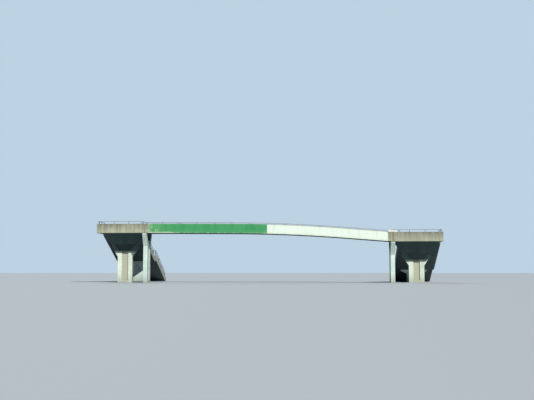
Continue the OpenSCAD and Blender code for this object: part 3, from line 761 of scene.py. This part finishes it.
# %% [markdown]
# ## A piece from a bmesh
#
# Every new piece ends the same way: its mesh becomes an object that rides on the
# bridge and takes its finish. The object stays at the origin, so a pattern in object
# coordinates runs on from its neighbours.
# Some operators leave vertices and faces in another order each time. Both are put in
# the order of their places, so that the script gives the same mesh whenever it runs.

# %% From bmesh to piece
def sort_by_place(parts, spot_of):
    """Orders vertices or faces by where they lie, because an operator may leave any order."""
    parts.index_update()
    by_place = sorted(parts, key=lambda part: tuple(round(c, 5) for c in spot_of(part)))
    rank = {part.index: number for number, part in enumerate(by_place)}
    parts.sort(key=lambda part: rank[part.index])


def piece(name, bm, finish, slot, *stands_for):
    """Makes the bmesh a piece of the bridge. stands_for names the parts that it replaces."""
    sort_by_place(bm.verts, lambda vertex: vertex.co)
    sort_by_place(bm.faces, lambda face: face.calc_center_median())
    mesh = bpy.data.meshes.new(name)
    bm.to_mesh(mesh)
    bm.free()
    made = bpy.data.objects.new(name, mesh)
    bpy.context.scene.collection.objects.link(made)
    mesh.materials.append(finish)
    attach(made, "root")
    if stands_for:
        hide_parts(*stands_for)
    return made


# %% [markdown]
# The frame's own meshes are loose triangles, which no operator can chamfer. A working
# copy is merged first, and then its flat faces are made whole again.

# %% A working copy of a frame part
SAME_SPOT, FLAT = 0.0002, math.radians(0.05)


def solid_copy(node):
    """A bmesh of a frame part, its loose triangles merged and its flat faces made whole."""
    bm = bmesh.new()
    bm.from_mesh(nodes[node].data)
    bmesh.ops.remove_doubles(bm, verts=bm.verts, dist=SAME_SPOT)
    bmesh.ops.dissolve_limit(bm, angle_limit=FLAT, verts=bm.verts, edges=bm.edges)
    return bm


bm = solid_copy("girder_front")
print("girder_front has", len(bm.faces), "whole faces")
bm.free()

# %% [markdown]
# ## Broken edges
#
# A strip of wood in the corner of the form takes the sharp edge off cast concrete,
# because a sharp edge would break when the form comes off. That narrow chamfer is
# what catches the light along every real beam. It belongs only on edges in the open:
# where a part runs on into its neighbour there is no edge, so a ray is sent out from
# both faces beside each edge, and the edge stays sharp if either one is covered.

# %% Edges in the open
COVER_REACH, TOUCHING = 0.02, 0.002  # how near another part has to be, ahead and all round
STEP_IN, LIFT = 0.012, 0.0005  # where a ray starts: in from the edge, and off the face
SHARP = math.radians(30)
THIN_PARTS = ("paint", "rail_plate", "handrail")
solids = {name: BVHTree.FromPolygons([v.co for v in part.data.vertices],
                                     [p.vertices for p in part.data.polygons])
          for name, part in nodes.items() if not name.startswith(THIN_PARTS)}


def covered(node, spot, way):
    """True if another part touches the face at this spot."""
    return any(solid.ray_cast(spot + way * LIFT, way, COVER_REACH)[0] is not None
               or solid.find_nearest(spot, TOUCHING)[0] is not None
               for name, solid in solids.items() if name != node)


def open_edges(node, bm):
    """Sharp convex edges with nothing against either of their two faces."""
    found = []
    for edge in bm.edges:
        if not (edge.is_manifold and edge.is_convex and edge.calc_face_angle(0) >= SHARP):
            continue
        start, end = (vertex.co for vertex in edge.verts)
        middle = (start + end) / 2
        spots = []
        for face in edge.link_faces:
            inwards = face.normal.cross((end - start).normalized())
            if inwards.dot(face.calc_center_median() - middle) < 0:
                inwards.negate()
            spots.append((middle + inwards * STEP_IN, face.normal))
        if not any(covered(node, spot, way) for spot, way in spots):
            found.append(edge)
    return found


bm = solid_copy("landing_front_left")
print(len(open_edges("landing_front_left", bm)), "of", len(bm.edges), "edges are open")
bm.free()

# %% [markdown]
# Now each cast part is replaced by a copy with those edges cut off. The edges of
# steps get a smaller chamfer than those of beams and walls, or they would look worn
# down.

# %% Chamfered copies
CHAMFER, STEP_CHAMFER = 0.02, 0.012
CAST = ("girder", "landing", "main_pier", "stair_pier", "mid_pier", "stringer")
STEPPED = ("mid_landing", "treads")


def chamfered(node, width):
    """Replaces a part by a copy of itself with its open edges chamfered."""
    bm = solid_copy(node)
    bmesh.ops.bevel(bm, geom=open_edges(node, bm), offset=width, offset_type="OFFSET",
                    affect="EDGES", segments=1, profile=0.5, material=-1, clamp_overlap=True)
    return piece(node + "_cast", bm, finish_of(node), SLOTS[node], node)


cast = [chamfered(name, STEP_CHAMFER if name.startswith(STEPPED) else CHAMFER)
        for name in sorted(nodes) if name.startswith(CAST + STEPPED)]
print(len(cast), "parts chamfered,", sum(len(c.data.polygons) for c in cast), "faces")

# %% [markdown]
# ## Paint on the lip
#
# The painters went on over the narrow lip at the foot of the beam. The coat on the
# face is a part of its own, but on the lip it is too thin to matter as a shape, so
# the lip's front faces simply take the paint as their material.

# %% Paint the lip's front
LIP_HEIGHT, LIP_OUT = 0.12, 0.03  # both with a little to spare
colour_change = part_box("paint_green")[1].x
paint_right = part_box("paint_white")[1].x
beam_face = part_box("girder_front")[0].y
beam = bpy.data.objects["girder_front_cast"].data
beam.materials.append(green_paint)
beam.materials.append(white_paint)

bm = bmesh.new()
bm.from_mesh(beam)
for x in (paint_left, colour_change, paint_right):
    bmesh.ops.bisect_plane(bm, geom=bm.verts[:] + bm.edges[:] + bm.faces[:], dist=1e-5,
                           plane_co=(x, 0, 0), plane_no=(1, 0, 0))
painted = 0
for face in bm.faces:
    spot = face.calc_center_median()
    in_front = spot.y < beam_face + LIP_OUT and face.normal.y < -0.3
    low = spot.z - underside(spot.x) < LIP_HEIGHT
    if in_front and low and paint_left < spot.x < paint_right:
        face.material_index = 1 if spot.x < colour_change else 2
        painted += 1
bm.to_mesh(beam)
bm.free()
print(painted, "faces of the lip painted")

# %% [markdown]
# ## Rail feet
#
# Every post stands on a small steel plate, held by anchors drilled into the
# concrete. The posts are already in the frame, so the plates can find them: the only
# small faces of a rail that look down are the ends of its posts. One foot is modelled
# once at the origin: a plate with rounded corners, and two anchors with their nuts.

# %% One foot
PLATE_LONG, PLATE_WIDE, PLATE_THICK, PLATE_CORNER = 0.16, 0.13, 0.012, 0.012
BOLT_OUT, NUT_ACROSS, NUT_HIGH, STUD_ACROSS, STUD_HIGH = 0.055, 0.024, 0.012, 0.013, 0.026


def edges_of(bm, verts):
    """The edges between these vertices, in the mesh's own order, so that each run is the same."""
    mine = set(verts)
    return [e for e in bm.edges if mine.issuperset(e.verts)]


def rounded_plate(bm, long, wide, thick, corner):
    """A flat plate on the origin with rounded corners, lying from 0 up to its thickness."""
    made = bmesh.ops.create_cube(bm, size=1.0)["verts"]
    bmesh.ops.scale(bm, vec=(long, wide, thick), verts=made)
    bmesh.ops.translate(bm, vec=(0, 0, thick / 2), verts=made)
    upright = [e for e in edges_of(bm, made)
               if abs(e.verts[0].co.z - e.verts[1].co.z) > thick / 2]
    bmesh.ops.bevel(bm, geom=upright, offset=corner, offset_type="OFFSET", affect="EDGES",
                    segments=2, profile=0.5, material=-1)


def rod(bm, across, low, high, sides, spot):
    """An upright prism or rod between two heights."""
    made = bmesh.ops.create_cone(bm, cap_ends=True, cap_tris=True, segments=sides,
                                 radius1=across / 2, radius2=across / 2, depth=high - low)["verts"]
    bmesh.ops.translate(bm, vec=(spot[0], spot[1], (low + high) / 2), verts=made)


def foot_mesh():
    """A rail post's base plate with two anchors, standing on the origin."""
    bm = bmesh.new()
    rounded_plate(bm, PLATE_LONG, PLATE_WIDE, PLATE_THICK, PLATE_CORNER)
    nut_top = PLATE_THICK + NUT_HIGH
    for side in (-1, 1):
        spot = (side * BOLT_OUT, 0)
        rod(bm, NUT_ACROSS, PLATE_THICK, nut_top, 6, spot)
        rod(bm, STUD_ACROSS, nut_top, PLATE_THICK + STUD_HIGH, 8, spot)
    return bm


foot = foot_mesh()
one_foot = bpy.data.meshes.new("one foot")
foot.to_mesh(one_foot)
foot.free()
print("one foot has", len(one_foot.polygons), "faces")

# %% [markdown]
# The same foot then goes under every post. On the stairs the posts' ends are cut on
# the slope, so three directions at right angles, along the rail, across it and out of
# the concrete, make the matrix that tilts the foot to its post. All feet of a rail
# are one piece.

# %% A foot under every post
POST_END_MOST, STEEP = 0.004, 0.85  # square metres, and the upright share of a normal


def post_ends(node):
    """The middle and the direction of each small face that looks down: the posts' lower ends."""
    bm = solid_copy(node)
    ends = [(f.calc_center_median(), f.normal.copy()) for f in bm.faces
            if f.normal.z < -STEEP and f.calc_area() < POST_END_MOST]
    bm.free()
    return ends


def set_feet(node):
    """A foot under every post of a rail, in one piece."""
    bm = bmesh.new()
    ends = post_ends(node)
    for spot, down in ends:
        up = -down
        on_slope = abs(down.y) > 0.1
        along = Vector((0, 1, 0)) if on_slope else Vector((1, 0, 0))
        across = up.cross(along).normalized()
        along = across.cross(up).normalized()
        stand = Matrix((along, across, up)).transposed().to_4x4()
        count = len(bm.verts)
        bm.from_mesh(one_foot)
        bm.verts.ensure_lookup_table()
        place_foot = Matrix.Translation(spot) @ stand
        bmesh.ops.transform(bm, matrix=place_foot, verts=bm.verts[count:])
    piece(node.replace("handrail", "rail_feet"), bm, zinc, "galvanised_steel")
    return len(ends)


RAILS = sorted(name for name in nodes if name.startswith("handrail"))
print({name: set_feet(name) for name in RAILS})

# %% [markdown]
# ## Rails with rounded arrises
#
# Hollow steel sections have rounded corners, because they are rolled from strip. Only
# the long, square edges of posts and bars are rounded. Their short ends stay sharp, as
# a saw leaves them.

# %% Rounded rails
ROLLED_RADIUS, LONG_EDGE, SQUARE = 0.006, 0.1, math.radians(60)

for name in RAILS:
    bm = solid_copy(name)
    corners = [e for e in bm.edges if e.is_manifold and e.is_convex
               and e.calc_face_angle(0) > SQUARE and e.calc_length() > LONG_EDGE]
    bmesh.ops.bevel(bm, geom=corners, offset=ROLLED_RADIUS, offset_type="OFFSET",
                    affect="EDGES", segments=2, profile=0.5, material=-1, clamp_overlap=True)
    piece(name + "_rolled", bm, zinc, "galvanised_steel", name)
print(len(RAILS), "rails rounded")

# %% [markdown]
# A long rail is cut into lengths, with a sleeve in each gap that lets the next length
# slide as the bridge warms up. Two rail ends that face each other across a finger's
# width mark such a gap. The sleeve is a bar a little thinner than the rail, turned
# into the gap's direction.

# %% Sleeves
GAP_LEAST, GAP_MOST = 0.001, 0.02
RAIL_WIDE, RAIL_HIGH = 0.05, 0.04
SLEEVE_REACH, SLEEVE_THIN, SLEEVE_CORNER = 0.03, 0.006, 0.004


def rail_gaps(node):
    """Pairs of rail ends that face each other: the middle of the gap and its direction."""
    bm = solid_copy(node)
    ends = [(f.calc_center_median(), f.normal.copy()) for f in bm.faces
            if abs(f.normal.z) < STEEP and f.calc_area() < POST_END_MOST]
    bm.free()
    gaps = []
    for i, (a, facing) in enumerate(ends):
        for b, other in ends[i + 1:]:
            opposite = facing.dot(other) < -0.95 and facing.dot(b - a) > 0
            if opposite and GAP_LEAST < (b - a).length < GAP_MOST:
                gaps.append(((a + b) / 2, facing.normalized()))
    return gaps


def add_sleeves(node):
    """A short inner tube across every gap of a rail."""
    gaps = rail_gaps(node)
    if not gaps:
        return 0
    bm = bmesh.new()
    size = (2 * SLEEVE_REACH, RAIL_WIDE - 2 * SLEEVE_THIN, RAIL_HIGH - 2 * SLEEVE_THIN)
    for spot, way in gaps:
        made = bmesh.ops.create_cube(bm, size=1.0)["verts"]
        bmesh.ops.scale(bm, vec=size, verts=made)
        rounded = bmesh.ops.bevel(bm, geom=edges_of(bm, made), offset=SLEEVE_CORNER,
                                  offset_type="OFFSET", affect="EDGES", segments=1,
                                  profile=0.5, material=-1)["verts"]
        side = Vector((0, 0, 1)).cross(way).normalized()
        turn = Matrix((way, side, way.cross(side))).transposed().to_4x4()
        bmesh.ops.transform(bm, matrix=Matrix.Translation(spot) @ turn, verts=rounded)
    piece(node.replace("handrail", "rail_sleeves"), bm, zinc, "galvanised_steel")
    return len(gaps)


print({name: add_sleeves(name) for name in RAILS})

# %% [markdown]
# ## The walkway's edges
#
# Water must not get between the asphalt and the beams, so a fillet of bitumen is run
# along both. It is a triangle drawn along the walkway: three points at one end, then
# extruded from station to station. The stations are the frame's own, so the fillet
# bends exactly where the walkway does.

# %% Bitumen fillets
FILLET = 0.035
walk_low, walk_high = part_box("deck_surfacing")
stations = sorted({round(v.co.x, 3) for v in nodes["deck_surfacing"].data.vertices})


def fillet(name, y, inwards):
    """A triangular strip along the foot of a beam."""
    bm = bmesh.new()
    x = stations[0]
    top = underside(x) + WALK_RISE
    corners = (x, y, top), (x, y, top + FILLET), (x, y + inwards * FILLET, top)
    ring = [bm.verts.new(corner) for corner in corners]
    first = bm.faces.new(ring)
    edges = list(first.edges)
    for x, ahead in zip(stations, stations[1:]):
        grown = bmesh.ops.extrude_edge_only(bm, edges=edges)["geom"]
        moved = [g for g in grown if isinstance(g, bmesh.types.BMVert)]
        edges = [g for g in grown if isinstance(g, bmesh.types.BMEdge)]
        bmesh.ops.translate(bm, vec=(ahead - x, 0, underside(ahead) - underside(x)), verts=moved)
    bm.faces.new(moved)
    bmesh.ops.recalc_face_normals(bm, faces=bm.faces)
    piece(name, bm, bitumen, "joint_rubber")


fillet("fillet_front", walk_low.y, 1)
fillet("fillet_rear", walk_high.y, -1)
print(len(stations), "stations along the walkway")

# %% [markdown]
# ## The joints at the ends of the deck
#
# The deck grows and shrinks with the seasons. Its rubber strip is held at both sides
# by a steel angle, screwed down, that also guards the asphalt's edge from wheels and
# shovels. A flat bar with a row of countersunk screws shows all of this that an eye
# on the walkway sees.

# %% Steel edges of the joints
IRON_WIDE, IRON_HIGH, IRON_CORNER = 0.06, 0.006, 0.003
SCREW_PITCH, SCREW_ACROSS, SCREW_HIGH = 0.25, 0.018, 0.002


def joint_irons(side, node):
    """A screwed-down flat bar on both sides of a joint strip."""
    low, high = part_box(node)
    long, centre = high.y - low.y, (low.y + high.y) / 2
    bm = bmesh.new()
    for edge, way in ((low.x, -1), (high.x, 1)):
        middle = edge + way * IRON_WIDE / 2
        grade, top = 0.0, high.z
        if abs(middle) < PIER_X:  # on the sloping deck, not on the level landing
            grade = (underside(middle + 0.01) - underside(middle - 0.01)) / 0.02
            top = underside(middle) + WALK_RISE
        bar = bmesh.new()
        rounded_plate(bar, IRON_WIDE, long, IRON_HIGH, IRON_CORNER)
        count = int(long / SCREW_PITCH)
        for k in range(count):
            spot = (0, (k + 0.5 - count / 2) * SCREW_PITCH)
            rod(bar, SCREW_ACROSS, IRON_HIGH, IRON_HIGH + SCREW_HIGH, 8, spot)
        tilt = Matrix.Rotation(-math.atan(grade), 4, "Y")
        bar.transform(Matrix.Translation((middle, centre, top)) @ tilt)
        part = bpy.data.meshes.new("bar")
        bar.to_mesh(part)
        bar.free()
        bm.from_mesh(part)
        bpy.data.meshes.remove(part)
    piece("joint_irons_" + side, bm, zinc, "galvanised_steel")


joint_irons("left", "joint_strip_left")
joint_irons("right", "joint_strip_right")
print("joint irons", IRON_WIDE, "m wide")

# %% [markdown]
# A joint that is open in the deck is open in the face of the beam too. There a soft
# sealant fills it, set back a finger's width from the face and rounded by the tool that
# smoothed it. So it is a round rod, as thick as the gap is wide, run up behind the face.

# %% Sealant in the faces of the beams
JOINT_GAP, SET_BACK = 0.03, 0.014
END_SHORT = 0.02  # the rod stops this far from the beam's foot and from its top
ROOM = 0.001  # it is this much thinner than the gap, to stay clear of both beams


def sealant(side, sign):
    """Two rods of sealant, in the front and the rear end of a deck joint."""
    bm = bmesh.new()
    for beam, outwards in (("girder_front", -1), ("girder_rear", 1)):
        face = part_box(beam)[0 if outwards < 0 else 1].y
        spot = (sign * PIER_X, face - outwards * (SET_BACK + JOINT_GAP / 2))
        foot = underside(sign * PIER_X) + END_SHORT
        rod(bm, JOINT_GAP - ROOM, foot, foot + BEAM_HEIGHT - 2 * END_SHORT, 12, spot)
    piece("sealant_" + side, bm, soft_filler, "joint_rubber")


sealant("left", -1)
sealant("right", 1)
print("sealant", SET_BACK, "m behind the face")

# %% [markdown]
# ## Bearings
#
# Between pier and deck lie pads of rubber with thin steel sheets vulcanised into
# them. Under load each layer of rubber bulges a little between its sheets, and that
# row of bulges is how such a bearing is recognised. Each pad is the frame's own block:
# its upright edges are divided into twice as many steps as there are layers, and every
# second level, where a steel sheet lies, is drawn in.

# %% Layered pads
LAYERS, BULGE = 4, 0.006


def blocks_of(bm):
    """The separate blocks of a mesh, each as a list of vertices, always in the same order."""
    blocks, seen = [], set()
    for first in bm.verts:
        if first in seen:
            continue
        seen.add(first)
        block = [first]
        for vertex in block:  # grows while it is read, until no neighbour is new
            around = [edge.other_vert(vertex) for edge in vertex.link_edges]
            fresh = [neighbour for neighbour in around if neighbour not in seen]
            seen.update(fresh)
            block += fresh
        blocks.append(block)
    return blocks


def pads(side, node):
    """The layered pads that stand for a row of plain blocks."""
    bm = solid_copy(node)
    blocks = blocks_of(bm)
    uprights = []
    for block in blocks:
        middle = sum((v.co for v in block), Vector()) / len(block)
        for edge in edges_of(bm, block):
            low, high = sorted((v.co.copy() for v in edge.verts), key=lambda spot: spot.z)
            if (high - low).xy.length < 0.001:
                uprights.append((edge, middle, low, high))
    cut = bmesh.ops.subdivide_edges(bm, edges=[u[0] for u in uprights], cuts=2 * LAYERS - 1,
                                    use_grid_fill=True)
    for v in (g for g in cut["geom_inner"] if isinstance(g, bmesh.types.BMVert)):
        _, middle, low, high = min(uprights, key=lambda u: (u[2] - v.co).xy.length)
        layer = (v.co.z - low.z) / (high.z - low.z) * LAYERS
        if abs(layer - round(layer)) < 0.1:
            v.co.x -= math.copysign(BULGE, v.co.x - middle.x)
            v.co.y -= math.copysign(BULGE, v.co.y - middle.y)
    piece("bearing_pads_" + side, bm, neoprene, "joint_rubber", node)
    return len(blocks)


print("pads:", pads("left", "bearings_left"), pads("right", "bearings_right"))

# %% [markdown]
# ## The small sheet on the rail
#
# A blank white sheet hangs on the rail over the right pier. Sheet metal this thin
# would flap, so its long edges are folded over into a flat hem. Its face is plain.
# All of it is drawn lying on the floor, as one thick plate on another, and stood up.

# %% Sheet with its hems
HEM_WIDE, HEM_THICK, HEM_SHORT, HEM_CORNER = 0.014, 0.003, 0.03, 0.004
SHEET_CORNER = 0.02
sheet_low, sheet_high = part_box("rail_plate")
sheet_long, sheet_thick, sheet_wide = sheet_high - sheet_low


def plate_at(bm, spot, *size):
    """A rounded plate, moved to its place."""
    count = len(bm.verts)
    rounded_plate(bm, *size)
    bm.verts.ensure_lookup_table()
    bmesh.ops.translate(bm, vec=spot, verts=bm.verts[count:])


bm = bmesh.new()
plate_at(bm, (0, 0, 0), sheet_long, sheet_wide, sheet_thick, SHEET_CORNER)
for side in (-1, 1):
    plate_at(bm, (0, side * (sheet_wide - HEM_WIDE) / 2, -HEM_THICK),
             sheet_long - HEM_SHORT, HEM_WIDE, sheet_thick + 2 * HEM_THICK, HEM_CORNER)
print("sheet", round(sheet_long, 3), "by", round(sheet_wide, 3), "m")

# %% [markdown]
# Two bands round each post behind the sheet hold it, with one bolt on both sides of
# the post. They sit low, because the bar of the lower rail leaves no room for them
# above. The posts are found again by their lower ends.

# %% Bands and bolts
BAND_WIDE, BAND_DEEP, BAND_HIGH, BAND_CORNER = 0.1, 0.056, 0.02, 0.003
BAND_PLACES = (-0.06, -0.005)  # up from the middle of the sheet
POST_BEHIND = 0.1  # how far behind the sheet a post can be
BOLT_ASIDE, BOLT_ACROSS, BOLT_HIGH = 0.038, 0.02, 0.006
sheet_middle = (sheet_low + sheet_high) / 2
posts = [spot.x - sheet_middle.x
         for rail in ("handrail_front", "handrail_landing_right") for spot, _ in post_ends(rail)
         if sheet_low.x < spot.x < sheet_high.x and abs(spot.y - sheet_high.y) < POST_BEHIND]
for x in posts:
    for y in BAND_PLACES:
        plate_at(bm, (x, y, -BAND_DEEP), BAND_WIDE, BAND_HIGH, BAND_DEEP, BAND_CORNER)
        for side in (-1, 1):
            spot = (x + side * BOLT_ASIDE, y)
            rod(bm, BOLT_ACROSS, sheet_thick, sheet_thick + BOLT_HIGH, 6, spot)
bm.transform(Matrix.Rotation(math.pi / 2, 4, "X"))
bm.transform(Matrix.Translation((sheet_middle.x, sheet_high.y, sheet_middle.z)))
piece("rail_sheet", bm, sheet_coat, "plate_paint", "rail_plate")
print(len(posts), "posts carry the sheet")

# %% [markdown]
# ## The size
#
# The box of all that shows is printed, in metres.

# %% The size, then the end
low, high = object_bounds()
print("visual box", [round(b - a, 3) for a, b in zip(low, high)], "m")
